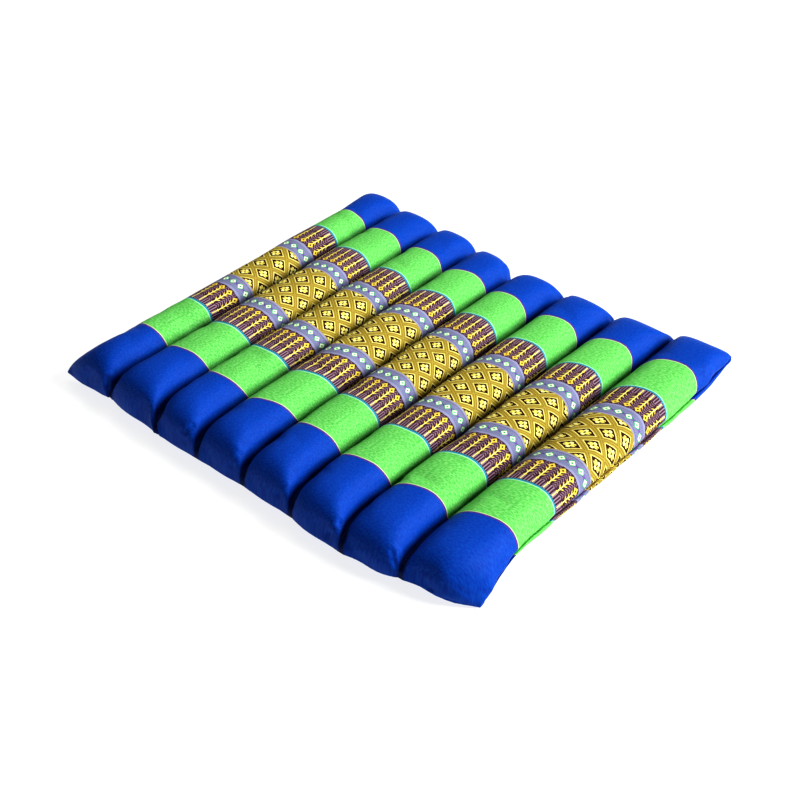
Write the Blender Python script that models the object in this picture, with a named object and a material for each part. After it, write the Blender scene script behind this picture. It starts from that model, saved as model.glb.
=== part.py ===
"""A quilted floor cushion: two panels of one cloth, sewn through in eight stuffed channels side by side.

X runs across the channels and Y along them. The cushion lies on the floor, which is at Z = 0, and the
origin is under the middle of its outline. All sizes are in metres.
"""
import bpy
import numpy as np

# Driving dimensions of the section across a channel
SEAM_HEIGHT = 0.0225  # the sewn lines between the channels, above the floor
WEB = 0.003  # thickness of the two panels and their thread where they are sewn together
CREASE = 0.0012  # width left between two channels that press on each other
FULLNESS = 2.7  # 2 gives elliptical channels, more gives squarer ones
PRESS = 0.0050  # how far the underside would reach below the floor if it weren't flattened there

# Driving dimensions of the seam along the cushion's two long sides
SIDE_TUCK = 0.002  # how far the seam is drawn in under the swell of the channel
SIDE_BOW = 0.002  # how far the middle of the seam is drawn in from the line through its ends
SIDE_LIFT = 0.0045  # how much higher than the seams between the channels it lies
SIDE_UNDERCUT = 2.0  # how much less full the channel is under it; 0 makes it as full as elsewhere

# Driving dimensions of the closed ends of the channels
NOSE = 0.040  # length over which a channel rounds down to its end seam
NOSE_FULLNESS = 2.4  # 2 gives an elliptical nose, more gives a blunter one
END_SEAM_DROP = 0.0125  # how much lower than the channel seams the end seams lie

# One row for each channel, from the left side to the right one. near and far are where its end seams
# lie along Y at its middle, crown is its height, near_notch and far_notch are how far the end seams are
# drawn in beside its right-hand neighbour, and dome is how squarely its far end is rounded in plan.
CHANNELS = (
    # width, near, far, crown, near_notch, far_notch, dome
    (0.0520, -0.2110, 0.2190, 0.0505, 0.0030, 0.0000, 3.0),
    (0.0588, -0.2135, 0.2135, 0.0500, -0.0015, 0.0000, 4.0),
    (0.0570, -0.2155, 0.2115, 0.0495, -0.0010, 0.0000, 4.0),
    (0.0606, -0.2145, 0.2030, 0.0505, 0.0000, 0.0130, 2.0),
    (0.0594, -0.2150, 0.2000, 0.0495, 0.0005, -0.0025, 3.0),
    (0.0612, -0.2190, 0.2010, 0.0475, -0.0030, -0.0020, 4.0),
    (0.0624, -0.2165, 0.2060, 0.0455, 0.0000, -0.0070, 4.0),
    (0.0725, -0.2050, 0.2190, 0.0450, 0.0000, 0.0000, 4.0),
)
WIDTH, NEAR, FAR, CROWN, NEAR_NOTCH, FAR_NOTCH, DOME = np.array(CHANNELS).T
NEAR_DOME = 3.0  # how squarely the near ends are rounded in plan

# How far the nine seams from the left side to the right one veer to the right at their near ends
SWAY = np.array((0.0, -0.006, 0.008, 0.007, 0.005, 0.007, 0.010, 0.006, 0.0))
SWAY_REACH = 0.055  # over what length they do so

# The four corners stick out as a pillow's do. One row for each: its side and end, how far it sticks out
# past the line of the side, how far past the line of the end, how much higher than the end seam it lies,
# and the radius that it is rounded with in plan.
CORNERS = (
    # side, end, out_x, out_y, lift, radius
    (-1, -1, 0.0185, -0.0030, -0.0060, 0.004),
    (-1, 1, -0.0080, -0.0030, 0.0040, 0.020),
    (1, -1, 0.0155, -0.0185, -0.0060, 0.028),
    (1, 1, -0.0050, -0.0095, 0.0160, 0.008),
)
CORNER_REACH = 0.070  # how far along the side from the end a corner starts to stick out
CORNER_DOME = 2.2  # how squarely the end seams turn into the corners

# How finely the curves are cut into faces
FACES_OVER_CHANNEL = 10
FACES_ALONG_NOSE = 6
FACES_ALONG_BODY = 7

CLOTH_BLUE = (0.020, 0.075, 0.560, 1.0)
CLOTH_ROUGHNESS = 0.62


def stations():
    """Stations from the near end seam to the far one, as three columns: how far along the channel each
    is, from 0 to 1, how far it is moved along Y from there, and how full the section is, from 0 to 1."""
    turn = np.linspace(0.0, np.pi / 2, FACES_ALONG_NOSE + 1)
    reach = NOSE * (1 - np.sin(turn) ** (2 / NOSE_FULLNESS))
    swell = np.clip(np.cos(turn), 0.0, 1.0) ** (2 / NOSE_FULLNESS)
    body = np.linspace(0.0, 1.0, FACES_ALONG_BODY + 1)[1:-1]
    share = np.concatenate([np.zeros_like(turn), body, np.ones_like(turn)])
    offset = np.concatenate([reach[::-1], np.zeros_like(body), -reach])
    full = np.concatenate([swell[::-1], np.ones_like(body), swell])
    return share, offset, full


def end_line(across, ends, notches, corners, dome):
    """Where the end seams lie along Y, for each channel and each place across it, which runs from -1 at
    its left edge to 1 at its right edge. A power of that place rounds the end off towards its edges."""
    between = (ends[:-1] + ends[1:]) / 2 - np.sign(ends[:-1]) * notches[:-1]
    outermost = ends[[0, -1]] + np.sign(ends[[0, -1]]) * np.array(corners)
    left = np.concatenate([outermost[:1], between])
    right = np.concatenate([between, outermost[1:]])
    edge = np.where(across < 0, left[:, None], right[:, None])
    squareness = np.repeat(dome[:, None], len(across), 1)
    squareness[0, across < 0] = CORNER_DOME
    squareness[-1, across > 0] = CORNER_DOME
    round_off = np.abs(across) ** squareness
    return ends[:, None] * (1 - round_off) + edge * round_off


def rounded_corners(x, y):
    """Rounds the four corners in plan. How far each point is into a corner's square, from 0 to 1 both
    ways, is mapped so that the square becomes a quarter disc."""
    for side, end, *_, radius in CORNERS:
        station, column = min(-end, 0), min(-side, 0)
        tip_x = x[station, column, column]
        tip_y = y[station, column, column]
        a = np.clip((x - tip_x) * side / radius + 1, 0, 1)
        b = np.clip((y - tip_y) * end / radius + 1, 0, 1)
        x = x + side * radius * a * (np.sqrt(1 - b ** 2 / 2) - 1)
        y = y + end * radius * b * (np.sqrt(1 - a ** 2 / 2) - 1)
    return x, y


def cushion_surface():
    """Two grids of points, station by channel by place across it: the upper panel from left to right and
    the lower panel likewise. Across a channel both are superellipses that meet at the sewn lines."""
    turn = np.linspace(np.pi, 0.0, FACES_OVER_CHANNEL + 1)
    across = np.sign(np.cos(turn)) * np.abs(np.cos(turn)) ** (2 / FULLNESS)
    across[[0, -1]] = -1, 1
    arch = np.clip(np.sin(turn), 0.0, 1.0) ** (2 / FULLNESS)
    arch[[0, -1]] = 0

    edge = np.concatenate([[0.0], np.cumsum(WIDTH)]) - WIDTH.sum() / 2
    middle = (edge[:-1] + edge[1:]) / 2
    half = (WIDTH - CREASE) / 2
    plan_x = middle[:, None] + half[:, None] * across

    near_left, far_left, near_right, far_right = np.array(CORNERS)[:, 2:5]
    near = end_line(across, NEAR, NEAR_NOTCH, (near_left[1], near_right[1]), np.full_like(DOME, NEAR_DOME))
    far = end_line(across, FAR, FAR_NOTCH, (far_left[1], far_right[1]), DOME)
    share, offset, full = (a[:, None, None] for a in stations())
    y = near + (far - near) * share + offset

    # the outer halves of the first and last channels: drawn in at the side seam, and out at the corners
    leftward = np.zeros_like(plan_x)
    leftward[0] = np.clip(-across, 0, 1)
    rightward = np.zeros_like(plan_x)
    rightward[-1] = np.clip(across, 0, 1)
    outward = rightward - leftward
    from_near = np.clip(1 - (y - near) / CORNER_REACH, 0, 1) ** 2
    from_far = np.clip(1 - (far - y) / CORNER_REACH, 0, 1) ** 2
    out_left = leftward ** 2 * (near_left[0] * from_near + far_left[0] * from_far)
    out_right = rightward ** 2 * (near_right[0] * from_near + far_right[0] * from_far)
    lift_left = leftward ** 2 * (near_left[2] * from_near + far_left[2] * from_far)
    lift_right = rightward ** 2 * (near_right[2] * from_near + far_right[2] * from_far)
    bow = SIDE_BOW * np.cos(np.pi * y / (far - near))
    x = plan_x - outward * SIDE_TUCK * (1 - arch) ** 2 - outward * np.abs(outward) * bow
    sway = SWAY[:-1, None] * (1 - across) / 2 + SWAY[1:, None] * (1 + across) / 2
    swayed = np.clip(1 - (y - near) / SWAY_REACH, 0, 1) ** 2
    x = x + out_right - out_left + sway * swayed
    x, y = rounded_corners(x, y)

    # towards the side seams both panels start higher, and the lower one is less full
    side_lift = SIDE_LIFT * outward ** 2 * full
    seam = SEAM_HEIGHT - END_SEAM_DROP * (1 - full) ** 2 + lift_left + lift_right + side_lift
    upper = seam + WEB / 2 + (CROWN[:, None] - SEAM_HEIGHT - side_lift - WEB / 2) * arch * full
    under = arch ** (1 + SIDE_UNDERCUT * outward ** 2)
    lower = seam - WEB / 2 - (SEAM_HEIGHT + side_lift - WEB / 2 + PRESS) * under * full
    return np.stack([x, y, upper], -1), np.stack([x, y, np.maximum(lower, 0)], -1)


def closed_mesh(name, upper, lower):
    """Joins the two panels into one closed mesh, station by station, and closes both ends with a strip."""
    rows = upper.shape[0]
    loop = np.concatenate([upper.reshape(rows, -1, 3), lower.reshape(rows, -1, 3)[:, ::-1]], 1)
    around = loop.shape[1]
    number = np.arange(rows * around).reshape(rows, around)
    here, beyond = number[:-1], number[1:]
    sides = np.stack([here, np.roll(here, -1, 1), np.roll(beyond, -1, 1), beyond], -1).reshape(-1, 4)
    half = around // 2
    top, bottom = number[:, :half], number[:, half:][:, ::-1]
    near = np.stack([top[0, :-1], bottom[0, :-1], bottom[0, 1:], top[0, 1:]], -1)
    far = np.stack([top[-1, :-1], top[-1, 1:], bottom[-1, 1:], bottom[-1, :-1]], -1)
    mesh = bpy.data.meshes.new(name)
    mesh.from_pydata(loop.reshape(-1, 3).tolist(), [], np.concatenate([sides, near, far]).tolist())
    mesh.validate()
    return mesh


def cloth(name, colour, roughness):
    """A plain cloth finish."""
    material = bpy.data.materials.new(name)
    material.use_nodes = True
    shader = material.node_tree.nodes["Principled BSDF"]
    shader.inputs["Base Color"].default_value = colour
    shader.inputs["Roughness"].default_value = roughness
    shader.inputs["Metallic"].default_value = 0.0
    return material


def build_cushion():
    """The filled cushion, moved along X and Y so that the origin is under the middle of its outline."""
    upper, lower = cushion_surface()
    points = np.concatenate([upper.reshape(-1, 3), lower.reshape(-1, 3)])
    middle = (points.min(0) + points.max(0)) / 2
    middle[2] = 0
    mesh = closed_mesh("cushion", upper - middle, lower - middle)
    mesh.shade_smooth()
    mesh.set_sharp_from_angle(angle=np.radians(60))
    mesh.materials.append(cloth("cushion_cloth", CLOTH_BLUE, CLOTH_ROUGHNESS))
    cushion = bpy.data.objects.new("cushion", mesh)
    bpy.context.scene.collection.objects.link(cushion)


for leftover in list(bpy.data.objects):
    bpy.data.objects.remove(leftover)
build_cushion()
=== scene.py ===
"""A quilted floor cushion of striped, patterned cloth: its sewn and stuffed body, its stitching and a
plain studio. All sizes are in metres where no other unit is named."""

import bmesh
import bpy
import numpy as np
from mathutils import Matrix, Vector


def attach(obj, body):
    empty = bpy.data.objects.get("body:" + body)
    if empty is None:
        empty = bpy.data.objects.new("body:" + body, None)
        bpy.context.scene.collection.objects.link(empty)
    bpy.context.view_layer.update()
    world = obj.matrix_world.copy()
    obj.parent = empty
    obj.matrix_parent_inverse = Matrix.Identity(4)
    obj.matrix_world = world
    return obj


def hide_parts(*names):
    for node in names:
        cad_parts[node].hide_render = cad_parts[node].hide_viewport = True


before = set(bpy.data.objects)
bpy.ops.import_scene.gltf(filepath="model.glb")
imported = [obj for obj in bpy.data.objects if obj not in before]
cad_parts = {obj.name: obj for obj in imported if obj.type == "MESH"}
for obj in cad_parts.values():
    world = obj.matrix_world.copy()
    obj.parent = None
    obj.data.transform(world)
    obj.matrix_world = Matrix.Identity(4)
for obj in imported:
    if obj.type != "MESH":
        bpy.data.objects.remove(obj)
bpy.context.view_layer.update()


# The camera stands a little right of the cushion's near end and looks down on it at 38 degrees, through
# a long lens, as the photograph was taken.
CAMERA_PLACE = Vector((0.7685, -0.8853, 0.8935))
CAMERA_TARGET = Vector((0.0392, -0.0493, 0.0330))
CAMERA_LENS = 67.5  # millimetres
SENSOR_WIDTH = 36.0  # millimetres

camera_data = bpy.data.cameras.new("camera")
camera_data.lens = CAMERA_LENS
camera_data.sensor_width = SENSOR_WIDTH
camera = bpy.data.objects.new("camera", camera_data)
camera.location = CAMERA_PLACE
camera.rotation_euler = (CAMERA_TARGET - CAMERA_PLACE).to_track_quat("-Z", "Y").to_euler()
bpy.context.scene.collection.objects.link(camera)
bpy.context.scene.camera = camera


# The cushion: two panels of one striped cloth, laid face to face, sewn round and turned, then sewn through
# in seven nearly straight lines. The eight channels between those lines are stuffed hard and closed at
# both ends, so each is a roll with a crowned top, flattened where it rests.
SEAM_HEIGHT = 0.0225  # the sewn lines between the channels, above the floor
WEB = 0.0014  # thickness of the two panels where they are sewn together
CREASE = 0.0052  # width left between two channels above their seam
FULLNESS = 2.9  # 2 gives elliptical channels, more gives squarer ones
PRESS = 0.0050  # how far the underside would reach below the floor if it weren't flattened there
SLACK = 0.0010  # how much lower than its crown a channel starts, before its pressure fills it

SIDE_TUCK = 0.002  # how far the side seams are drawn in under the swell of the channel
SIDE_BOW = 0.002  # how far the middle of a side seam is drawn in from the line through its ends
SIDE_LIFT = 0.0015  # how much higher than the seams between the channels a side seam lies
SIDE_SLOPE = 0.4  # how much more gently the upper panel comes down to it; 0 makes it no gentler
SIDE_UNDERCUT = 2.4  # how much less full the channel is under it

NOSE = 0.040  # length over which a channel rounds down to its end seam
NOSE_FULLNESS = 2.4  # 2 gives an elliptical nose, more gives a blunter one
END_SEAM_DROP = 0.0125  # how much lower than the channel seams the end seams lie
# How far the nine seams from the left side to the right one veer to the right at their near ends
SWAY = np.array((0.0, -0.006, 0.008, 0.007, 0.005, 0.007, 0.010, 0.006, 0.0))
SWAY_REACH = 0.055  # over what length they do so

# One row for each channel from the left: its width, where its end seams lie along Y at its middle, its
# height, how far the end seams are drawn in beside its right-hand neighbour, and how squarely its far end
# is rounded in plan.
CHANNELS = (
    # width, near, far, crown, near_notch, far_notch, dome
    (0.0520, -0.2100, 0.2190, 0.0505, 0.0030, 0.0000, 3.0),
    (0.0588, -0.2125, 0.2135, 0.0500, -0.0015, 0.0000, 4.0),
    (0.0570, -0.2155, 0.2115, 0.0495, -0.0010, 0.0000, 4.0),
    (0.0606, -0.2145, 0.2030, 0.0505, 0.0000, 0.0130, 2.0),
    (0.0594, -0.2150, 0.2000, 0.0495, 0.0005, -0.0025, 3.0),
    (0.0612, -0.2190, 0.2010, 0.0475, -0.0030, -0.0020, 4.0),
    (0.0624, -0.2165, 0.2060, 0.0455, 0.0000, -0.0070, 4.0),
    (0.0725, -0.2050, 0.2190, 0.0450, 0.0000, 0.0000, 4.0),
)
WIDTH, NEAR, FAR, CROWN, NEAR_NOTCH, FAR_NOTCH, DOME = np.array(CHANNELS).T
NEAR_DOME = 3.0  # how squarely the near ends are rounded in plan

# The four corners stick out as a pillow's do. One row for each: its side and end, how far it sticks out
# past the line of the side, how far past the line of the end, how much higher than the side seam it lies,
# the radius that it is rounded with in plan, and how far along the side from the end it starts to do so.
CORNERS = (
    # side, end, out_x, out_y, lift, radius, reach
    (-1, -1, 0.0280, 0.0000, -0.0150, 0.009, 0.055),
    (-1, 1, 0.0100, 0.0025, -0.0040, 0.015, 0.065),
    (1, -1, 0.0125, -0.0100, -0.0205, 0.030, 0.090),
    (1, 1, -0.0065, 0.0000, 0.0055, 0.004, 0.125),
)
CORNER_DOME = 2.2  # how squarely the end seams turn into the corners
MIDDLE = np.array((-0.00445, -0.00063, 0.0))  # what the tables' origin is moved by, as in the frame

# How finely the two panels are cut into faces
FACES_OVER_TOP = 20  # over a channel, and half as many under it
FACES_UNDER = 10
FACES_ALONG_NOSE = 14
FACES_ALONG_BODY = 66
CLOSER_AT_SEAMS = 0.68  # how much closer together the cuts are at the seams; 0 spaces them evenly
MEASURED_POINTS = 2001  # points that a section's length is measured with

# How the cloth lies on each channel. The first columns are where six woven lines cross its crown along Y,
# in millimetres: blue to green, green to plum and grey to gold at the near end, and the same at the far
# end. Then how far those lines shift from the crown to the right-hand seam, and how much of that shift
# bends back, in millimetres. Then where a row of whole diamonds starts across the channel, measured over
# its top from its left seam, and the width of one small woven repeat there, in millimetres.
CLOTH_LIE = (
    # blue, green, gold, gold, green, blue, lean, bend, first, repeat
    (-137.0, -79.0, -18.5, 51.0, 109.5, 152.0, 2.5, -1.0, 52.5, 10.0),
    (-140.0, -87.0, -29.0, 43.0, 97.0, 144.5, 6.5, -2.5, 45.5, 8.7),
    (-145.0, -91.0, -31.5, 38.5, 95.5, 144.0, 4.0, 1.0, 47.5, 8.8),
    (-145.5, -92.5, -34.0, 35.5, 91.0, 138.5, 12.0, -4.0, 58.0, 9.0),
    (-143.5, -91.5, -34.0, 33.5, 88.5, 136.0, 3.5, -3.0, 60.0, 8.8),
    (-146.5, -92.5, -34.0, 34.0, 88.5, 137.0, 6.5, -4.5, 43.5, 9.2),
    (-140.0, -86.0, -27.5, 38.5, 94.5, 143.5, 8.0, -9.0, 41.0, 10.1),
    (-130.5, -77.5, -21.5, 46.5, 102.0, 154.5, 7.0, -9.0, 58.0, 11.1),
)
LIE_MIDDLE = 45.0  # where the crown is, over the top from the left seam, in millimetres
LIE_REACH = 35.0  # from there to where the right-hand flank meets the next channel
LIE_LIMITS = (-1.0, 1.3)  # how many times that far to the left and right the lines go on leaning
LIE_GATHER = 0.03  # how much the lines close up towards the flanks, as a share of their distance

# The bands of the cloth, from the middle of its gold band outwards, in millimetres
GOLD_EDGE = 31.2
GREY_EDGE = 50.2
PLUM_EDGE = 84.2
TEAL_EDGE = 85.7
MINT_EDGE = 86.7
GREEN_EDGE = 139.0
CREAM_EDGE = 140.2
PURPLE_EDGE = 141.6


def stations():
    """Stations from the near end seam to the far one: how far along each is, from 0 to 1, how far it is
    moved along Y, and how full the section is. The noses follow a superellipse from seam to crown."""
    turn = np.linspace(0.0, np.pi / 2, FACES_ALONG_NOSE + 1)
    reach = NOSE * (1 - np.sin(turn) ** (2 / NOSE_FULLNESS))
    swell = np.clip(np.cos(turn), 0.0, 1.0) ** (2 / NOSE_FULLNESS)
    body = np.linspace(0.0, 1.0, FACES_ALONG_BODY + 1)[1:-1]
    share = np.concatenate([np.zeros_like(turn), body, np.ones_like(turn)])
    offset = np.concatenate([reach[::-1], NOSE * (1 - 2 * body), -reach])
    full = np.concatenate([swell[::-1], np.ones_like(body), swell])
    return share, offset, full


def section(faces):
    """Places across a channel, from -1 to 1, and the height of its arch at each, from 0 to 1: a superellipse
    cut at distances along itself that are closer together towards both seams."""
    turn = np.linspace(np.pi, 0.0, MEASURED_POINTS)
    across = np.sign(np.cos(turn)) * np.abs(np.cos(turn)) ** (2 / FULLNESS)
    arch = np.clip(np.sin(turn), 0.0, 1.0) ** (2 / FULLNESS)
    length = np.concatenate([[0.0], np.cumsum(np.hypot(np.diff(across), np.diff(arch)))])
    even = np.linspace(0.0, 1.0, faces + 1)
    wanted = length[-1] * (even - CLOSER_AT_SEAMS * np.sin(2 * np.pi * even) / (2 * np.pi))
    across = np.interp(wanted, length, across)
    arch = np.interp(wanted, length, arch)
    across[[0, -1]] = -1, 1
    arch[[0, -1]] = 0
    return across, arch


def end_line(across, ends, notches, corners, dome):
    """Where the end seams lie along Y for each channel and place across it: a power of that place rounds
    each channel's end off towards the seams beside it."""
    between = (ends[:-1] + ends[1:]) / 2 - np.sign(ends[:-1]) * notches[:-1]
    outermost = ends[[0, -1]] + np.sign(ends[[0, -1]]) * np.array(corners)
    left = np.concatenate([outermost[:1], between])
    right = np.concatenate([between, outermost[1:]])
    edge = np.where(across < 0, left[:, None], right[:, None])
    squareness = np.repeat(dome[:, None], len(across), 1)
    squareness[0, across < 0] = CORNER_DOME
    squareness[-1, across > 0] = CORNER_DOME
    round_off = np.abs(across) ** squareness
    return ends[:, None] * (1 - round_off) + edge * round_off


def rounded_corners(x, y):
    """Rounds the four corners in plan. How far each point is into a corner's square, from 0 to 1 both ways,
    is mapped so that the square becomes a quarter disc."""
    for side, end, *_, radius, _ in CORNERS:
        row, column = min(-end, 0), min(-side, 0)
        tip_x = x[row, column, column]
        tip_y = y[row, column, column]
        a = np.clip((x - tip_x) * side / radius + 1, 0, 1)
        b = np.clip((y - tip_y) * end / radius + 1, 0, 1)
        x = x + side * radius * a * (np.sqrt(1 - b ** 2 / 2) - 1)
        y = y + end * radius * b * (np.sqrt(1 - a ** 2 / 2) - 1)
    return x, y


def panel(faces, upper):
    """One panel as a grid, station by channel by place across it. Its height is a superellipse over the
    channel's width times how full the station is, above the seams or below them and cut by the floor."""
    across, arch = section(faces)
    edge = np.concatenate([[0.0], np.cumsum(WIDTH)]) - WIDTH.sum() / 2
    middle = (edge[:-1] + edge[1:]) / 2
    plan_x = middle[:, None] + (WIDTH - CREASE)[:, None] / 2 * across

    near_left, far_left, near_right, far_right = np.array(CORNERS)[:, 2:]
    out_x, out_y, lift, _, reach = range(5)  # the columns of a corner's row
    near_dome = np.full_like(DOME, NEAR_DOME)
    near = end_line(across, NEAR, NEAR_NOTCH, (near_left[out_y], near_right[out_y]), near_dome)
    far = end_line(across, FAR, FAR_NOTCH, (far_left[out_y], far_right[out_y]), DOME)
    share, offset, full = (a[:, None, None] for a in stations())
    y = near + (far - near) * share + offset

    # the outer halves of the first and last channels: drawn in at the side seam, and out at the corners
    leftward = np.zeros_like(plan_x)
    leftward[0] = np.clip(-across, 0, 1)
    rightward = np.zeros_like(plan_x)
    rightward[-1] = np.clip(across, 0, 1)
    outward = rightward - leftward
    at_near_left = np.clip(1 - (y - near) / near_left[reach], 0, 1) ** 2
    at_far_left = np.clip(1 - (far - y) / far_left[reach], 0, 1) ** 2
    at_near_right = np.clip(1 - (y - near) / near_right[reach], 0, 1) ** 2
    at_far_right = np.clip(1 - (far - y) / far_right[reach], 0, 1) ** 2
    out_left = leftward ** 2 * (near_left[out_x] * at_near_left + far_left[out_x] * at_far_left)
    out_right = rightward ** 2 * (near_right[out_x] * at_near_right + far_right[out_x] * at_far_right)
    lift_left = leftward ** 2 * (near_left[lift] * at_near_left + far_left[lift] * at_far_left)
    lift_right = rightward ** 2 * (near_right[lift] * at_near_right + far_right[lift] * at_far_right)
    bow = SIDE_BOW * np.cos(np.pi * y / (far - near))
    x = plan_x - outward * SIDE_TUCK * (1 - arch) ** 2 - outward * np.abs(outward) * bow
    sway = SWAY[:-1, None] * (1 - across) / 2 + SWAY[1:, None] * (1 + across) / 2
    pull = out_right - out_left + sway * np.clip(1 - (y - near) / SWAY_REACH, 0, 1) ** 2
    x, y = rounded_corners(x, y)
    x = x + pull

    # towards the side seams both panels start higher, and both are less full
    side_lift = SIDE_LIFT * outward ** 2 * full
    end_drop = END_SEAM_DROP * (1 - full) ** 2 * (1 - outward ** 2)
    seam = SEAM_HEIGHT - end_drop + lift_left + lift_right + side_lift
    if upper:
        crown = CROWN[:, None] - SLACK
        sloped = arch ** (1 + SIDE_SLOPE * np.abs(outward))
        z = seam + WEB / 2 + (crown - SEAM_HEIGHT - side_lift - WEB / 2) * sloped * full
    else:
        under = arch ** (1 + SIDE_UNDERCUT * outward ** 2)
        z = seam - WEB / 2 - (SEAM_HEIGHT + side_lift - WEB / 2 + PRESS) * under * full
    return np.stack([x, y, np.maximum(z, 0)], -1) - MIDDLE


def length_over(grid):
    """How far each point is from its channel's left seam, over the cloth at the middle of its length."""
    section_line = grid[grid.shape[0] // 2]
    steps = np.hypot(np.diff(section_line[..., 0]), np.diff(section_line[..., 2]))
    return np.concatenate([np.zeros((len(steps), 1)), np.cumsum(steps, 1)], 1)


def woven_places(grid, over):
    """Where each point is in the weave. First in small repeats across the channel, from a row of whole
    diamonds. Then in millimetres from the middle of the gold band, by the woven lines on both sides."""
    lie = np.array(CLOTH_LIE)
    lean, bend, first, width = lie[:, 6:].T[..., None]
    repeat = (over * 1000 - first) / width
    reach = np.clip((over * 1000 - LIE_MIDDLE) / LIE_REACH, *LIE_LIMITS)
    shift = lean * reach + bend * reach ** 2
    y = (grid[..., 1] + MIDDLE[1]) * 1000 - shift
    y = y * (1 + LIE_GATHER * reach ** 2)
    woven = np.array((-GREEN_EDGE, -MINT_EDGE, -GOLD_EDGE, GOLD_EDGE, MINT_EDGE, GREEN_EDGE))
    along = np.empty_like(y)
    for channel, lines in enumerate(lie[:, :6]):
        along[:, channel] = np.interp(y[:, channel], lines, woven)
        beyond = y[:, channel] - np.clip(y[:, channel], lines[0], lines[-1])
        along[:, channel] += beyond
    return np.stack([np.broadcast_to(repeat, along.shape), along], -1)


def face_outward(mesh):
    """Turns every face of a closed mesh outward."""
    faces = bmesh.new()
    faces.from_mesh(mesh)
    bmesh.ops.recalc_face_normals(faces, faces=faces.faces)
    faces.to_mesh(mesh)
    faces.free()


def closed_cloth(name, top, bottom, top_weave, bottom_weave):
    """Joins the two panels into one closed mesh. Each station is a loop round both panels, and neighbouring
    loops are joined by four-sided faces. The open loops at the two ends are closed by a narrow strip, in
    which each face of the lower panel meets two of the upper one's. The map "weave" holds the places."""
    rows, channels, over = top.shape[:3]
    under = bottom.shape[2]
    loop = np.concatenate([top.reshape(rows, -1, 3), bottom.reshape(rows, -1, 3)[:, ::-1]], 1)
    bottom_places = bottom_weave.reshape(rows, -1, 2)[:, ::-1]
    places = np.concatenate([top_weave.reshape(rows, -1, 2), bottom_places], 1)
    around = loop.shape[1]
    number = np.arange(rows * around).reshape(rows, around)
    here, beyond = number[:-1], number[1:]
    sides = np.stack([here, np.roll(here, -1, 1), np.roll(beyond, -1, 1), beyond], -1).reshape(-1, 4)
    upper = number[:, :channels * over].reshape(rows, channels, over)
    lower = number[:, channels * over:][:, ::-1].reshape(rows, channels, under)
    ends = []
    for row in (0, -1):
        first, second, third = upper[row, :, :-2:2], upper[row, :, 1:-1:2], upper[row, :, 2::2]
        closing = np.stack([first, second, third, lower[row, :, 1:], lower[row, :, :-1]], -1)
        ends += closing.reshape(-1, 5).tolist()
        above = upper[row, :-1, -1], upper[row, 1:, 0]
        below = lower[row, 1:, 0], lower[row, :-1, -1]
        ends += np.stack([*above, *below], -1).tolist()
    mesh = bpy.data.meshes.new(name)
    mesh.from_pydata(loop.reshape(-1, 3).tolist(), [], sides.tolist() + ends)
    corner = np.zeros(len(mesh.loops), np.int32)
    mesh.loops.foreach_get("vertex_index", corner)
    weave = mesh.uv_layers.new(name="weave")
    weave.data.foreach_set("uv", places.reshape(-1, 2)[corner].astype(np.float32).ravel())
    face_outward(mesh)
    mesh.shade_smooth()
    return mesh, number


top = panel(FACES_OVER_TOP, upper=True)
bottom = panel(FACES_UNDER, upper=False)
over_top = length_over(top)
over_bottom = length_over(bottom)
top_weave = woven_places(top, over_top)
bottom_weave = woven_places(bottom, over_bottom * over_top[:, -1:] / over_bottom[:, -1:])
cushion_mesh, cushion_number = closed_cloth("cushion_cover", top, bottom, top_weave, bottom_weave)
cushion = bpy.data.objects.new("cushion_cover", cushion_mesh)
bpy.context.scene.collection.objects.link(cushion)

FILLING_PRESSURE = 4.0
FILLING_STEPS = 20
CLOTH_WEIGHT = 0.3  # kilograms a point
CLOTH_QUALITY = 6  # smaller steps of the simulation in each of its steps
CLOTH_EASE = 0.02  # how much wider the cloth may get, as a share
MOST_SWELL = 0.0015  # how far the filling may push a point of the cloth
SIDE_SWELL = 0.0006  # and how far out at the cushion's two long sides
ROOM = 0.0025  # how far from the plane between two channels each of them stops
TINY = 1e-9  # keeps a point that hasn't moved from a division by zero


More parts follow.
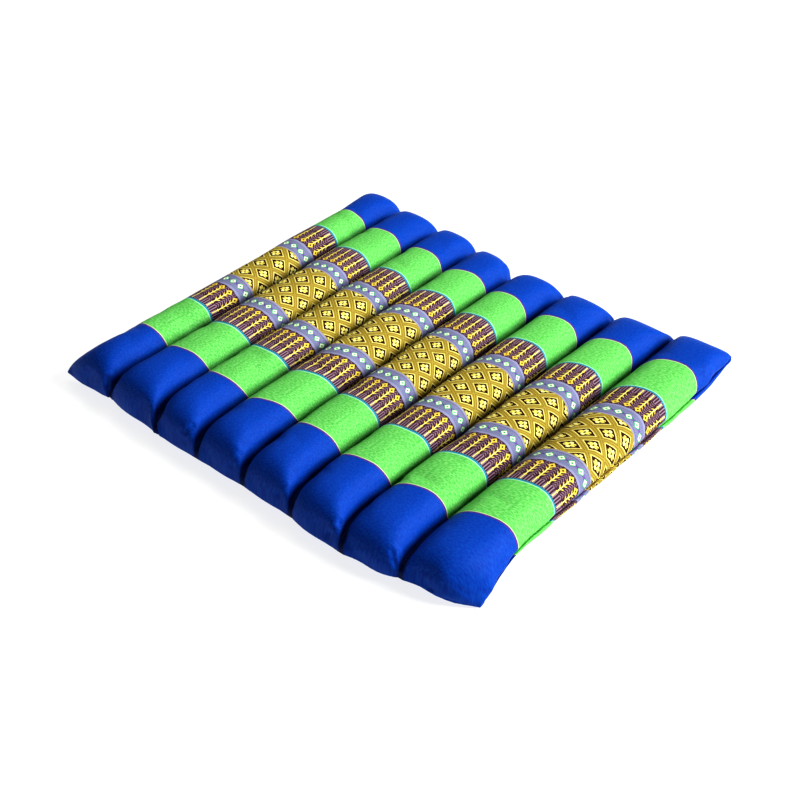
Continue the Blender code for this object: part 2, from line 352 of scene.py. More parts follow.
def filled(piece, number, channels, over):
    """Swells the cover with its filling: twenty steps of cloth under pressure, held at the sewn lines and
    the end seams. A point moves no further than the most swell, stays on its own channel's side of the
    planes between the channels, and doesn't go below the floor."""
    mesh = piece.data
    start = np.zeros(len(mesh.vertices) * 3)
    mesh.vertices.foreach_get("co", start)
    start = start.reshape(-1, 3)
    rows, around = number.shape
    sewn = piece.vertex_groups.new(name="sewn")
    top_columns = np.arange(channels * over).reshape(channels, over)
    under = around // channels - over
    low_columns = channels * over + np.arange(channels * under).reshape(channels, under)
    edges = np.concatenate([top_columns[:, [0, -1]].ravel(), low_columns[:, [0, -1]].ravel()])
    held = np.concatenate([number[:, edges].ravel(), number[0], number[-1]])
    sewn.add(np.unique(held).tolist(), 1.0, "REPLACE")

    cloth = piece.modifiers.new("filling", "CLOTH")
    cloth.settings.quality = CLOTH_QUALITY
    cloth.settings.mass = CLOTH_WEIGHT
    cloth.settings.use_pressure = True
    cloth.settings.uniform_pressure_force = FILLING_PRESSURE
    cloth.settings.vertex_group_mass = "sewn"
    cloth.settings.shrink_min = -CLOTH_EASE
    cloth.settings.effector_weights.gravity = 0.0
    cloth.collision_settings.use_collision = False
    cloth.collision_settings.use_self_collision = False
    for step in range(1, FILLING_STEPS + 1):
        bpy.context.scene.frame_set(step)
    swollen = piece.evaluated_get(bpy.context.evaluated_depsgraph_get()).to_mesh()
    end = np.zeros(len(mesh.vertices) * 3)
    swollen.vertices.foreach_get("co", end)
    end = end.reshape(-1, 3)
    piece.modifiers.remove(cloth)
    piece.vertex_groups.remove(sewn)
    bpy.context.scene.frame_set(1)

    move = end - start
    length = np.linalg.norm(move, axis=1, keepdims=True)
    end = start + move * np.minimum(1, MOST_SWELL / np.maximum(length, TINY))
    edge = np.concatenate([[0.0], np.cumsum(WIDTH)]) - WIDTH.sum() / 2 - MIDDLE[0]
    channel = np.zeros(len(start), int)
    for one in range(channels):
        channel[number[:, top_columns[one]]] = one
        channel[number[:, low_columns[channels - 1 - one]]] = one
    low = np.minimum(edge[channel] + ROOM, start[:, 0])
    high = np.maximum(edge[channel + 1] - ROOM, start[:, 0])
    low[channel == 0] = start[channel == 0, 0] - SIDE_SWELL
    high[channel == channels - 1] = start[channel == channels - 1, 0] + SIDE_SWELL
    end[:, 0] = np.clip(end[:, 0], low, high)
    end[:, 2] = np.maximum(end[:, 2], 0)
    mesh.vertices.foreach_set("co", end.ravel())
    mesh.update()


filled(cushion, cushion_number, len(CHANNELS), FACES_OVER_TOP + 1)

smooth = cushion.modifiers.new("smooth", "SUBSURF")
smooth.levels = 1
smooth.render_levels = 1
smooth.uv_smooth = "NONE"
smoothed = cushion.evaluated_get(bpy.context.evaluated_depsgraph_get())
cushion_mesh = bpy.data.meshes.new_from_object(smoothed)
cushion.modifiers.remove(smooth)
cushion.data = cushion_mesh

SIDE_CREVICE = 0.0085  # how deep the side seams are drawn in and down between the two panels
CREVICE_WIDTH = 0.0019  # half the width of that crevice
CREVICE_FADE = 0.012  # how far from its ends it reaches its full depth
CREVICE_IN = 0.66  # how much of its depth goes inward
CREVICE_DOWN = 0.75  # and how much downward

# The puckers where the cloth is gathered by its end seams. One row for each, in millimetres: the two ends
# of its trough in the cushion's own places, half its width, and its depth.
PUCKERS = (
    # from, to, half width, depth
    ((-196, -206, 31), (-193, -209, 12), 3.4, 2.0),
    ((-123, -213, 27), (-117, -215, 12), 3.4, 2.2),
    ((-74, -206, 37), (-79, -213, 30), 3.2, 2.0),
    ((-79, -213, 30), (-78, -216, 18), 3.0, 1.6),
    ((-14, -205, 36), (-18, -213, 24), 3.4, 1.4),
    ((44, -208, 34), (40, -214, 22), 3.2, 1.5),
    ((114, -209, 35), (103, -219, 16), 3.4, 2.2),
    ((168, -207, 33), (175, -210, 22), 2.8, 2.0),
    ((174, -204, 32), (178, -208, 20), 2.6, 1.8),
    ((202, -203, 20), (209, -205, 11), 2.8, 1.4),
    ((211, -202, 23), (216, -205, 12), 2.6, 1.3),
    ((240, -189, 28), (228, -202, 15), 3.2, 2.2),
    ((236, 176, 42), (245, 165, 31), 4.2, 4.0),
    ((247, 188, 36), (246, 178, 32), 3.0, 1.8),
    ((-240, 186, 33), (-244, 176, 28), 3.0, 1.6),
    ((-16, 199, 33), (-20, 192, 38), 3.0, 1.8),
    ((-8, 198, 33), (-4, 191, 38), 3.0, 1.8),
)


def puckered(mesh, seams):
    """Draws the two side seams into their crevice, by a bell curve of the distance from the seam. Then
    gathers the cloth by its end seams: each pucker is a trough between two ridges, along the normals."""
    place = np.zeros(len(mesh.vertices) * 3)
    mesh.vertices.foreach_get("co", place)
    place = place.reshape(-1, 3)
    normal = np.zeros(len(mesh.vertices) * 3, np.float32)
    mesh.vertex_normals.foreach_get("vector", normal)
    normal = normal.reshape(-1, 3)
    move = np.zeros_like(place)
    for side, seam in zip((-1, 1), seams):
        off_x = place[:, 0] - np.interp(place[:, 1], seam[:, 1], seam[:, 0])
        off_z = place[:, 2] - np.interp(place[:, 1], seam[:, 1], seam[:, 2])
        to_end = np.minimum(place[:, 1] - seam[0, 1], seam[-1, 1] - place[:, 1])
        depth = SIDE_CREVICE * np.clip(to_end / CREVICE_FADE, 0.0, 1.0)
        depth = depth * np.exp(-(off_x ** 2 + off_z ** 2) / CREVICE_WIDTH ** 2)
        move[:, 0] -= side * CREVICE_IN * depth
        move[:, 2] -= CREVICE_DOWN * depth
    for start, end, half, depth in PUCKERS:
        start, end = np.array(start) / 1000, np.array(end) / 1000
        run = end - start
        share = np.clip((place - start) @ run / (run @ run), 0, 1)
        off = np.linalg.norm(place - start - share[:, None] * run, axis=1) / (half / 1000)
        bell = (1 - 2 * off ** 2) * np.exp(-off ** 2)
        move -= normal * (depth / 1000 * bell)[:, None]
    place += move
    place[:, 2] = np.maximum(place[:, 2], 0)
    mesh.vertices.foreach_set("co", place.ravel())
    mesh.update()


def seam_line(mesh, columns):
    """The middle of the smoothed cover's points in some columns, station by station."""
    place = np.zeros(len(mesh.vertices) * 3)
    mesh.vertices.foreach_get("co", place)
    return place.reshape(-1, 3)[cushion_number[:, columns]].mean(1)


over = FACES_OVER_TOP + 1  # points over a channel
under = FACES_UNDER + 1  # points under it
count = len(CHANNELS)
right_side = count * over  # the first column of the lower panel, which starts at the right-hand side
between_over = [over * channel for channel in range(1, count)]
between_under = [right_side + under * channel for channel in range(1, count)]
side_seams = [seam_line(cushion_mesh, [column - 1, column]) for column in (0, right_side)]
upper_seams = [seam_line(cushion_mesh, [column - 1, column]) for column in between_over]
lower_seams = [seam_line(cushion_mesh, [column - 1, column]) for column in between_under]
puckered(cushion_mesh, side_seams)

CREASE_SHADE_REACH = 0.0036  # how far from the plane between two channels the painted shade reaches


def paint_shade_in_creases(mesh, seams):
    """Stores painted shade in a point attribute: how deep each point lies between two channels, from 0 to 1,
    as a bell curve of how far it is from the nearest sewn line, measured across the channels."""
    place = np.zeros(len(mesh.vertices) * 3)
    mesh.vertices.foreach_get("co", place)
    place = place.reshape(-1, 3)
    deep = np.zeros(len(place), np.float32)
    for seam in seams:
        off = place[:, 0] - np.interp(place[:, 1], seam[:, 1], seam[:, 0])
        deep = np.maximum(deep, np.exp(-(off / CREASE_SHADE_REACH) ** 2))
    crease_painted_shade = mesh.attributes.new("crease_painted_shade", "FLOAT", "POINT")
    crease_painted_shade.data.foreach_set("value", deep.astype(np.float32))


paint_shade_in_creases(cushion_mesh, upper_seams)


def screen_colour(red, green, blue):
    """A colour given as it looks on a screen, from 0 to 255, as the linear values that a shader takes: the
    screens' standard curve, a power of the brightness with a straight foot."""
    parts = [((part / 255.0 + 0.055) / 1.055) ** 2.4 if part > 10 else part / 3294.6
             for part in (red, green, blue)]
    return (*parts, 1.0)


class Weaver:
    """Adds the nodes of a woven pattern to a material, each as one call that returns its output."""

    def __init__(self, material):
        material.use_nodes = True
        self.tree = material.node_tree
        self.shader = self.tree.nodes["Principled BSDF"]

    def put(self, socket, value):
        """Gives a socket its value, which is a plain one or another node's output."""
        if isinstance(value, bpy.types.NodeSocket):
            self.tree.links.new(value, socket)
        else:
            socket.default_value = value

    def step(self, operation, *terms):
        """One step of arithmetic."""
        node = self.tree.nodes.new("ShaderNodeMath")
        node.operation = operation
        for socket, term in zip(node.inputs, terms):
            self.put(socket, term)
        return node.outputs[0]

    def plus(self, value, other):
        return self.step("ADD", value, other)

    def minus(self, value, other):
        return self.step("SUBTRACT", value, other)

    def times(self, value, other):
        return self.step("MULTIPLY", value, other)

    def divided(self, value, other):
        return self.step("DIVIDE", value, other)

    def apart(self, value, other):
        """How far two values are from each other."""
        return self.step("ABSOLUTE", self.minus(value, other))

    def below(self, value, limit):
        """1 where the value is below the limit, 0 elsewhere."""
        return self.step("LESS_THAN", value, limit)

    def above(self, value, limit):
        """1 where the value is above the limit, 0 elsewhere."""
        return self.step("GREATER_THAN", value, limit)

    def between(self, value, low, high):
        """1 where the value is between the limits, 0 elsewhere."""
        return self.times(self.above(value, low), self.below(value, high))

    def held(self, value, most):
        """The value, but no less than 0 and no more than the most."""
        return self.step("MINIMUM", self.step("MAXIMUM", value, 0.0), most)

    def all_of(self, *shares):
        """The product of some shares, so 1 only where each of them is 1."""
        result = shares[0]
        for share in shares[1:]:
            result = self.times(result, share)
        return result

    def from_whole(self, value, period=1.0):
        """How far a value is from the nearest whole number of periods, in the value's own unit."""
        return self.step("PINGPONG", value, period / 2)

    def over(self, ground, colour, share):
        """A colour laid over another one where the share is 1."""
        node = self.tree.nodes.new("ShaderNodeMix")
        node.data_type = "RGBA"
        self.put(node.inputs["Factor"], share)
        self.put(node.inputs["A"], ground)
        self.put(node.inputs["B"], colour)
        return node.outputs["Result"]

    def diamond(self, across, along, half_across, half_along):
        """How far out in a diamond a point lies, 1 at its edge."""
        return self.plus(self.divided(across, half_across), self.divided(along, half_along))

    def lobe(self, across, along, centre_across, centre_along, half_across, half_along):
        """1 inside a square with rounded corners, 0 outside it: by the cubes of how far out a point is."""
        a = self.step("ABSOLUTE", self.divided(self.minus(across, centre_across), half_across))
        b = self.step("ABSOLUTE", self.divided(self.minus(along, centre_along), half_along))
        cubes = self.plus(self.step("POWER", a, 3.0), self.step("POWER", b, 3.0))
        return self.below(cubes, 1.0)

    def noise(self, place, scale):
        """Cloudy noise from 0 to 1, with three finer layers over the first one."""
        node = self.tree.nodes.new("ShaderNodeTexNoise")
        self.put(node.inputs["Vector"], place)
        node.inputs["Scale"].default_value = scale
        node.inputs["Detail"].default_value = 3.0
        return node.outputs["Fac"]

    def place(self, x, y):
        """A place in a plane."""
        node = self.tree.nodes.new("ShaderNodeCombineXYZ")
        self.put(node.inputs[0], x)
        self.put(node.inputs[1], y)
        return node.outputs[0]

    def relief(self, height, strength, depth):
        """Gives the finish a fine relief of some height, strength and depth in metres."""
        bump = self.tree.nodes.new("ShaderNodeBump")
        bump.inputs["Strength"].default_value = strength
        bump.inputs["Distance"].default_value = depth
        self.put(bump.inputs["Height"], height)
        self.put(self.shader.inputs["Normal"], bump.outputs[0])


# The colours of the yarns, as they look in even light, and the painted shade deep between the channels
GOLD = screen_colour(168, 148, 64)
GOLD_LINE = screen_colour(240, 230, 142)
GOLD_SHADE = screen_colour(96, 66, 16)
BROWN = screen_colour(56, 26, 14)
CREAM = screen_colour(246, 240, 160)
PETAL = screen_colour(230, 212, 108)
GREY = screen_colour(120, 122, 154)
GREY_LIGHT = screen_colour(142, 142, 172)
GREY_DARK = screen_colour(100, 96, 130)
DIAMOND_GREEN = screen_colour(44, 160, 96)
DIAMOND_PALE = screen_colour(226, 240, 206)
LINK_PURPLE = screen_colour(112, 60, 152)
PLUM = screen_colour(66, 38, 52)
LILAC = screen_colour(152, 124, 140)
YELLOW = screen_colour(222, 194, 82)
TEAL = screen_colour(30, 140, 164)
MINT = screen_colour(176, 226, 186)
GREEN = screen_colour(98, 186, 88)
GREEN_PALE = screen_colour(142, 210, 128)
GREEN_DEEP = screen_colour(52, 166, 72)
SELVEDGE_CREAM = screen_colour(186, 218, 158)
PURPLE = screen_colour(108, 52, 132)
BLUE = screen_colour(16, 79, 172)
BLUE_DEEP = screen_colour(8, 57, 156)
# painted shade, not a yarn: the near black laid on the cloth deep between two channels
PAINTED_CREASE_SHADE = screen_colour(4, 6, 22)

BAND_SPAN = 240.0  # the millimetres that the ramp of bands covers
GREY_START = GOLD_EDGE + 3.0  # the grey ground lies between two borders
GREY_STOP = GREY_EDGE - 3.2
BANDS = (
    # from, colour
    (0.0, GOLD), (GOLD_EDGE, BROWN), (GOLD_EDGE + 0.6, GREY_LIGHT), (GOLD_EDGE + 2.4, GREY_DARK),
    (GREY_START, GREY), (GREY_STOP, GREY_DARK), (GREY_STOP + 0.6, GREY_LIGHT),
    (GREY_EDGE, PLUM), (PLUM_EDGE, TEAL), (TEAL_EDGE, MINT), (MINT_EDGE, GREEN),
    (GREEN_EDGE, SELVEDGE_CREAM), (CREAM_EDGE, PURPLE), (PURPLE_EDGE, BLUE),
)
SMALL_REPEAT = 9.2  # millimetres across


def plain_bands(w, out):
    """The bands' plain colours, by how far a point is from the middle of the gold band."""
    ramp = w.tree.nodes.new("ShaderNodeValToRGB")
    ramp.color_ramp.interpolation = "CONSTANT"
    stops = ramp.color_ramp.elements
    stops[0].color = BANDS[0][1]
    stops[1].position = BANDS[1][0] / BAND_SPAN
    stops[1].color = BANDS[1][1]
    for start, colour in BANDS[2:]:
        stop = stops.new(start / BAND_SPAN)
        stop.color = colour
    w.put(ramp.inputs[0], w.divided(out, BAND_SPAN))
    return ramp.outputs[0]


# The gold band's lattice and its flowers. In a large diamond, places and sizes are shares of its halves.
LATTICE_ALONG = 20.8  # millimetres from one row of large diamonds to the next along the channel
LATTICE_ACROSS = 3.0  # small repeats from one to the next across it
SHADE_LINE = (0.865, 0.905)  # a dark line in the gold, from and to, with 1 at the lattice's lines
PALE_LINE = (0.640, 0.715)  # a pale line, and inside it the diamond is brown
PETALS = (0.19, 0.0, 0.150, 0.20)  # middle across and along, half the width and half the length
PETAL_NOTCH = (0.25, 0.50)  # from and to, across
NOTCH_HALF = 0.04
DOTS = (0.0, 0.26, 0.110, 0.13)
HEART = (0.0, 0.0, 0.05, 0.07)


def flowers(w, colour, across, along, out):
    """The gold band: a lattice of large diamonds, each with a flower of two petals across, two dots along
    and a dark heart. A point's lean is how much further it is from a whole period across than along, and
    tells in which of two neighbouring diamonds it lies."""
    in_gold = w.below(out, GOLD_EDGE)
    a = w.times(w.from_whole(across, LATTICE_ACROSS), 2 / LATTICE_ACROSS)
    b = w.times(w.from_whole(along, LATTICE_ALONG), 2 / LATTICE_ALONG)
    lean = w.minus(a, b)
    far_out = w.minus(1.0, w.step("ABSOLUTE", lean))
    middle_cell = w.above(lean, 0.0)
    off_across = w.apart(middle_cell, a)
    off_along = w.apart(w.minus(1.0, middle_cell), b)
    colour = w.over(colour, GOLD_SHADE, w.all_of(in_gold, w.between(far_out, *SHADE_LINE)))
    colour = w.over(colour, GOLD_LINE, w.all_of(in_gold, w.between(far_out, *PALE_LINE)))
    colour = w.over(colour, BROWN, w.all_of(in_gold, w.below(far_out, PALE_LINE[0])))
    petals = w.lobe(off_across, off_along, *PETALS)
    colour = w.over(colour, PETAL, w.all_of(in_gold, petals))
    notch = w.all_of(w.below(off_along, NOTCH_HALF), w.between(off_across, *PETAL_NOTCH))
    colour = w.over(colour, BROWN, w.all_of(in_gold, petals, notch))
    dots = w.lobe(off_across, off_along, *DOTS)
    colour = w.over(colour, CREAM, w.all_of(in_gold, dots))
    heart = w.lobe(off_across, off_along, *HEART)
    return w.over(colour, GOLD_SHADE, w.all_of(in_gold, heart))


# The grey bands' ground, small diamonds and links
SPECKLE_SCALE = 1.5
SPECKLE_LIGHT = 0.56  # above it the noise gives a light fleck
SPECKLE_DARK = 0.42  # and below this one a dark fleck
DIAMOND_WIDE = 0.43  # half the width of a small diamond, in small repeats
DIAMOND_LONG = 4.1  # half its length, in millimetres
DIAMOND_FRAME = 0.76  # where its green frame starts, with 1 at its edge
DIAMOND_HEART = 0.30  # and where its green heart ends
LINK_HALF = 0.6  # half the width of a link's two crossed bars, in millimetres
LINK_REACH = 1.6  # how far they reach along the channel, in millimetres


def small_diamonds(w, colour, across, along, out):
    """The grey bands: a flecked ground, and a row of small diamonds with a purple cross between each two."""
    in_grey = w.between(out, GREY_START, GREY_STOP)
    beside = w.from_whole(across)
    from_row = w.apart(out, (GOLD_EDGE + GREY_EDGE) / 2)
    speckle = w.noise(w.place(w.times(across, SMALL_REPEAT), w.times(along, 2.0)), SPECKLE_SCALE)
    colour = w.over(colour, GREY_LIGHT, w.all_of(in_grey, w.above(speckle, SPECKLE_LIGHT)))
    colour = w.over(colour, GREY_DARK, w.all_of(in_grey, w.below(speckle, SPECKLE_DARK)))
    diamond = w.diamond(beside, from_row, DIAMOND_WIDE, DIAMOND_LONG)
    colour = w.over(colour, DIAMOND_GREEN, w.all_of(in_grey, w.below(diamond, 1.0)))
    colour = w.over(colour, DIAMOND_PALE, w.all_of(in_grey, w.below(diamond, DIAMOND_FRAME)))
    colour = w.over(colour, DIAMOND_GREEN, w.all_of(in_grey, w.below(diamond, DIAMOND_HEART)))
    from_link = w.times(w.minus(0.5, beside), SMALL_REPEAT)
    link = w.all_of(w.below(w.apart(from_link, from_row), LINK_HALF), w.below(from_row, LINK_REACH), in_grey)
    return w.over(colour, LINK_PURPLE, link)


# The plum bands' chevrons, fringe and darts, in millimetres down from the grey band and sideways from the
# middle of a dart
CHEVRON_SLANT = 0.9  # how far an arm runs down for each millimetre sideways
CHEVRON_PITCH = 2.6
CHEVRON_HALF = 0.42
CHEVRONS_DOWN = (1.5, 26.0)
FRINGE_DOWN = 25.0  # where the fringe starts
FRINGE_PITCH = 0.25  # in small repeats
FRINGE_GAP = 0.075  # half the gap between two threads of it, in small repeats
CLEAR_HALF = 2.6  # half the width of the plain plum strip under a dart
CLEAR_DOWN = 27.0
RING_DOWN = 4.6  # the middle of the ring at the dart's foot
RING_HALVES = (3.1, 3.8)
RING_HOLE = 0.33  # as a share of the ring
BARB_SLANT = 1.15
BARB_PITCH = 4.9
BARB_DOWN = 11.4  # where the first barb meets the stem
BARB_HALF = 0.8
BARB_REACH = 2.4
BARBS_DOWN = (9.8, 23.4)
STAR_DOWN = 25.6
STAR_HALVES = (1.5, 1.9)
STEM_HALF = 0.5
STEM_DOWN = (8.0, 33.0)


def barbed_darts(w, colour, across, out):
    """The plum bands: nested lilac chevrons, a fringe by the teal line, and in each small repeat a yellow
    dart, which is a ring, slanting barbs and a star on one stem."""
    in_plum = w.between(out, GREY_EDGE, PLUM_EDGE)
    down = w.minus(out, GREY_EDGE)
    sideways = w.times(w.from_whole(across), SMALL_REPEAT)
    chevron_place = w.plus(down, w.times(sideways, CHEVRON_SLANT))
    chevron = w.below(w.from_whole(chevron_place, CHEVRON_PITCH), CHEVRON_HALF)
    colour = w.over(colour, LILAC, w.all_of(in_plum, chevron, w.between(down, *CHEVRONS_DOWN)))
    fringe = w.all_of(w.above(w.from_whole(across, FRINGE_PITCH), FRINGE_GAP), w.above(down, FRINGE_DOWN))
    colour = w.over(colour, LILAC, w.all_of(in_plum, fringe))
    clear = w.all_of(w.below(sideways, CLEAR_HALF), w.below(down, CLEAR_DOWN))
    colour = w.over(colour, PLUM, w.all_of(in_plum, clear))
    ring = w.diamond(sideways, w.apart(down, RING_DOWN), *RING_HALVES)
    colour = w.over(colour, YELLOW, w.all_of(in_plum, w.below(ring, 1.0)))
    colour = w.over(colour, BROWN, w.all_of(in_plum, w.below(ring, RING_HOLE)))
    barb_place = w.plus(down, w.times(sideways, BARB_SLANT))
    barb = w.below(w.from_whole(w.minus(barb_place, BARB_DOWN), BARB_PITCH), BARB_HALF)
    barbs = w.all_of(barb, w.below(sideways, BARB_REACH), w.between(barb_place, *BARBS_DOWN))
    colour = w.over(colour, YELLOW, w.all_of(in_plum, barbs))
    star = w.diamond(sideways, w.apart(down, STAR_DOWN), *STAR_HALVES)
    colour = w.over(colour, YELLOW, w.all_of(in_plum, w.below(star, 1.0)))
    stem = w.all_of(w.below(sideways, STEM_HALF), w.between(down, *STEM_DOWN))
    return w.over(colour, GOLD_LINE, w.all_of(in_plum, stem))


# The flecks of the plain bands. Each kind starts at some value of one noise and grows by the contrast.
FLECK_STRETCH = 0.45  # the noise's scale across the channel, beside 1 along it
FLECK_SCALE = 0.85
FLECK_CONTRAST = 3.2
PALE_START, PALE_MOST = 0.42, 0.85
DEEP_START, DEEP_MOST = 0.48, 0.70
BLUE_START, BLUE_MOST = 0.36, 0.90


def flecks(w, colour, across, along, out):
    """The green is flecked along its weft with paler and deeper green, and the blue a little."""
    noise = w.noise(w.place(w.times(across, SMALL_REPEAT * FLECK_STRETCH), along), FLECK_SCALE)
    in_green = w.between(out, MINT_EDGE, GREEN_EDGE)
    pale = w.times(in_green, w.times(w.minus(noise, PALE_START), FLECK_CONTRAST))
    deep = w.times(in_green, w.times(w.minus(DEEP_START, noise), FLECK_CONTRAST))
    colour = w.over(colour, GREEN_PALE, w.held(pale, PALE_MOST))
    colour = w.over(colour, GREEN_DEEP, w.held(deep, DEEP_MOST))
    shade = w.held(w.times(w.minus(noise, BLUE_START), FLECK_CONTRAST), BLUE_MOST)
    return w.over(colour, BLUE_DEEP, w.all_of(w.above(out, PURPLE_EDGE), shade))


CREASE_SHADE_SHARE = 0.85  # how far the cloth's colour goes over to the painted shade where it lies deepest between two channels
RIB_PITCH = 0.55  # millimetres from one rib of the weft to the next
CORD_PITCH = 0.5  # and from one of the warp to the next
UNEVEN_SCALE = 0.7  # how fine the weave's unevenness is
UNEVEN_SHARE = 1.6  # how strong it is beside the ribs
CLOTH_ROUGHNESS = 0.62
BLUE_GLOSS = 0.14  # how much less rough the blue is
CLOTH_SHINE = 0.08
CLOTH_SHEEN = 0.02
SHEEN_ROUGHNESS = 0.4


def striped_cloth():
    """The cover's cloth: plain blue and green bands, and a patterned stripe of a gold band with flowers in
    a lattice between grey bands with a row of small diamonds and plum bands with rows of barbed darts.
    Deep between two channels it is darkened by painted shade. Its relief is the product of two waves, plus
    noise."""
    material = bpy.data.materials.new("striped_cloth")
    w = Weaver(material)
    uv = w.tree.nodes.new("ShaderNodeUVMap")
    uv.uv_map = "weave"
    split = w.tree.nodes.new("ShaderNodeSeparateXYZ")
    w.put(split.inputs[0], uv.outputs[0])
    across, along = split.outputs[0], split.outputs[1]
    out = w.step("ABSOLUTE", along)

    colour = plain_bands(w, out)
    colour = flowers(w, colour, across, along, out)
    colour = small_diamonds(w, colour, across, along, out)
    colour = barbed_darts(w, colour, across, out)
    colour = flecks(w, colour, across, along, out)
    # painted shade: deep between two channels the cloth's colour goes over to near black
    crease_painted_shade = w.tree.nodes.new("ShaderNodeAttribute")
    crease_painted_shade.attribute_name = "crease_painted_shade"
    colour = w.over(colour, PAINTED_CREASE_SHADE, w.times(crease_painted_shade.outputs["Fac"], CREASE_SHADE_SHARE))
    w.put(w.shader.inputs["Base Color"], colour)

    ribs = w.step("SINE", w.times(along, 2 * np.pi / RIB_PITCH))
    cords = w.step("SINE", w.times(across, 2 * np.pi * SMALL_REPEAT / CORD_PITCH))
    uneven = w.noise(w.place(w.times(across, SMALL_REPEAT), along), UNEVEN_SCALE)
    height = w.plus(w.times(ribs, cords), w.times(uneven, UNEVEN_SHARE))
    w.relief(height, strength=0.22, depth=0.0003)

    rough = w.minus(CLOTH_ROUGHNESS, w.times(w.above(out, PURPLE_EDGE), BLUE_GLOSS))
    w.put(w.shader.inputs["Roughness"], rough)
    w.shader.inputs["Specular IOR Level"].default_value = CLOTH_SHINE
    w.shader.inputs["Sheen Weight"].default_value = CLOTH_SHEEN
    w.shader.inputs["Sheen Roughness"].default_value = SHEEN_ROUGHNESS
    return material


cushion_mesh.materials.append(striped_cloth())
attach(cushion, "root")
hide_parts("cushion")


# The stitching: seven rows of lockstitch through both panels, in dark thread. Each stitch is a short round
# bar that dives into the cloth at both ends, above on the upper panel and below on the lower one.
STITCH = 0.0034  # length of a stitch
STITCH_PITCH = 0.0043  # from one stitch to the next
THREAD = 0.0004  # radius of the thread
THREAD_SIDES = 6  # points round the thread
THREAD_TWIST = 0.0006  # from one slanting ridge of the thread to the next
THREAD_BLUE = screen_colour(12, 22, 84)
THREAD_ROUGHNESS = 0.55
STITCH_RINGS = (
    # place along the stitch as a share of its length, then width and height in radii of the thread
    (-0.50, 0.4, -1.6),
    (-0.34, 1.0, 0.0),
    (0.34, 1.0, 0.0),
    (0.50, 0.4, -1.6),
)
LOOK_AHEAD = 0.001  # how far on along a line the point lies that gives a stitch its direction


def points_on(line, length, at):
    """The points of a line at some distances along it."""
    return np.stack([np.interp(at, length, line[:, axis]) for axis in range(3)], -1)


def stitches(name, rows, face):
    """All stitches of some seam lines in one mesh: at even distances along each line, four rings of six
    points, the outer rings narrower and sunk, joined by quads and closed by a six-sided face at each end."""
    turn = np.linspace(0.0, 2 * np.pi, THREAD_SIDES + 1)[:-1]
    ring = np.stack([np.cos(turn), np.sin(turn)], -1) * THREAD
    share, width, height = np.array(STITCH_RINGS).T
    along = share * STITCH
    sunk = height * THREAD
    bars = []
    for line in rows:
        length = np.concatenate([[0.0], np.cumsum(np.linalg.norm(np.diff(line, axis=0), axis=1))])
        at = np.arange(STITCH_PITCH, length[-1] - STITCH_PITCH, STITCH_PITCH)
        centre = points_on(line, length, at)
        ahead = points_on(line, length, at + LOOK_AHEAD)
        forward = (ahead - centre) / np.linalg.norm(ahead - centre, axis=1, keepdims=True)
        sideways = np.cross(forward, (0.0, 0.0, face))
        outward = np.cross(sideways, forward)
        to_side = ring[:, 0] * width[:, None]
        upward = ring[:, 1] * width[:, None] + sunk[:, None] + THREAD
        bars.append(centre[:, None, None] + forward[:, None, None] * along[:, None, None]
                    + sideways[:, None, None] * to_side[..., None]
                    + outward[:, None, None] * upward[..., None])
    bars = np.concatenate(bars)
    rings = len(STITCH_RINGS)
    first = np.arange(len(bars))[:, None, None] * rings * THREAD_SIDES
    corner = np.arange(THREAD_SIDES)
    here = np.arange(rings - 1)[:, None] * THREAD_SIDES + corner
    beside = np.arange(rings - 1)[:, None] * THREAD_SIDES + (corner + 1) % THREAD_SIDES
    quads = np.stack([here, here + THREAD_SIDES, beside + THREAD_SIDES, beside], -1).reshape(1, -1, 4) + first
    caps = np.stack([corner[::-1], corner + (rings - 1) * THREAD_SIDES])[None] + first
    faces = quads.reshape(-1, 4).tolist() + caps.reshape(-1, THREAD_SIDES).tolist()
    mesh = bpy.data.meshes.new(name)
    mesh.from_pydata(bars.reshape(-1, 3).tolist(), [], faces)
    face_outward(mesh)
    mesh.shade_smooth()
    return mesh


def thread_finish():
    """Twisted sewing thread: dark blue, with slanting ridges across each stitch."""
    material = bpy.data.materials.new("sewing_thread")
    w = Weaver(material)
    coordinates = w.tree.nodes.new("ShaderNodeTexCoord")
    split = w.tree.nodes.new("ShaderNodeSeparateXYZ")
    w.put(split.inputs[0], coordinates.outputs["Object"])
    slant = w.plus(split.outputs[0], w.plus(split.outputs[1], split.outputs[2]))
    ridges = w.step("SINE", w.times(slant, 2 * np.pi / THREAD_TWIST))
    w.relief(ridges, strength=0.5, depth=0.0001)
    w.shader.inputs["Base Color"].default_value = THREAD_BLUE
    w.shader.inputs["Roughness"].default_value = THREAD_ROUGHNESS
    return material


thread = thread_finish()
for name, rows, face in (("upper_stitches", upper_seams, 1.0), ("lower_stitches", lower_seams, -1.0)):
    stitching_mesh = stitches(name, rows, face)
    stitching_mesh.materials.append(thread)
    stitching = bpy.data.objects.new(name, stitching_mesh)
    bpy.context.scene.collection.objects.link(stitching)
    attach(stitching, "root")


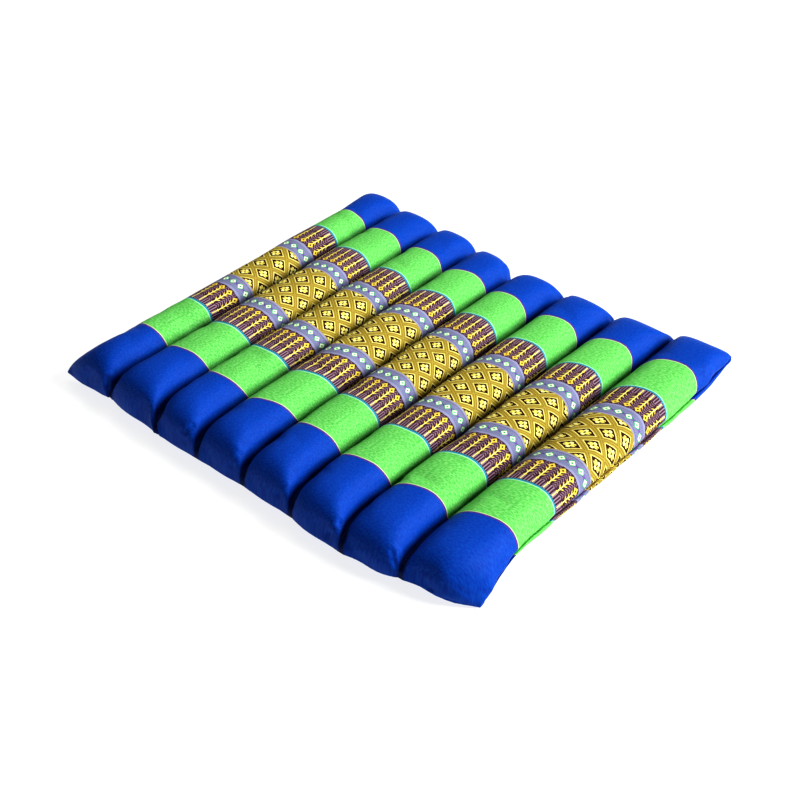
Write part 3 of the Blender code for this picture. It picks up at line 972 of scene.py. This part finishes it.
# The studio: a plain floor that is partly lit by itself, so that it comes out white, a large lamp from the
# right of the far side and a weak one from the left, and a faint even light from all round.
FLOOR_HALF = 6.0
FLOOR_GREY = (0.28, 0.28, 0.28, 1.0)
FLOOR_GLOW = 0.58
FLOOR_ROUGHNESS = 0.9
FLOOR_SHINE = 0.1
WHITE = (1.0, 1.0, 1.0, 1.0)
LIGHT_ALL_ROUND = 0.10

floor_mesh = bpy.data.meshes.new("floor")
floor_corners = [(-FLOOR_HALF, -FLOOR_HALF, 0.0), (FLOOR_HALF, -FLOOR_HALF, 0.0),
                 (FLOOR_HALF, FLOOR_HALF, 0.0), (-FLOOR_HALF, FLOOR_HALF, 0.0)]
floor_mesh.from_pydata(floor_corners, [], [(0, 1, 2, 3)])
floor = bpy.data.objects.new("floor", floor_mesh)
bpy.context.scene.collection.objects.link(floor)
floor_finish = bpy.data.materials.new("floor_white")
floor_finish.use_nodes = True
floor_shader = floor_finish.node_tree.nodes["Principled BSDF"]
floor_shader.inputs["Base Color"].default_value = FLOOR_GREY
floor_shader.inputs["Emission Color"].default_value = WHITE
floor_shader.inputs["Emission Strength"].default_value = FLOOR_GLOW
floor_shader.inputs["Roughness"].default_value = FLOOR_ROUGHNESS
floor_shader.inputs["Specular IOR Level"].default_value = FLOOR_SHINE
floor_mesh.materials.append(floor_finish)

LAMPS = (
    # name, place, width, power in watts, colour
    ("key", (3.70, 1.90, 2.70), 2.0, 345.0, (0.97, 1.0, 1.0)),
    ("fill", (-0.90, 1.60, 3.50), 2.5, 45.0, (1.0, 0.97, 0.88)),
)
for name, place, width, power, tint in LAMPS:
    lamp_data = bpy.data.lights.new(name, "AREA")
    lamp_data.size = width
    lamp_data.energy = power
    lamp_data.color = tint
    lamp = bpy.data.objects.new(name, lamp_data)
    lamp.location = place
    lamp.rotation_euler = (-Vector(place)).to_track_quat("-Z", "Y").to_euler()
    bpy.context.scene.collection.objects.link(lamp)

world = bpy.data.worlds.new("studio")
bpy.context.scene.world = world
world.use_nodes = True
world.node_tree.nodes["Background"].inputs["Color"].default_value = WHITE
world.node_tree.nodes["Background"].inputs["Strength"].default_value = LIGHT_ALL_ROUND
bpy.context.scene.view_settings.view_transform = "Standard"
bpy.context.scene.view_settings.look = "High Contrast"
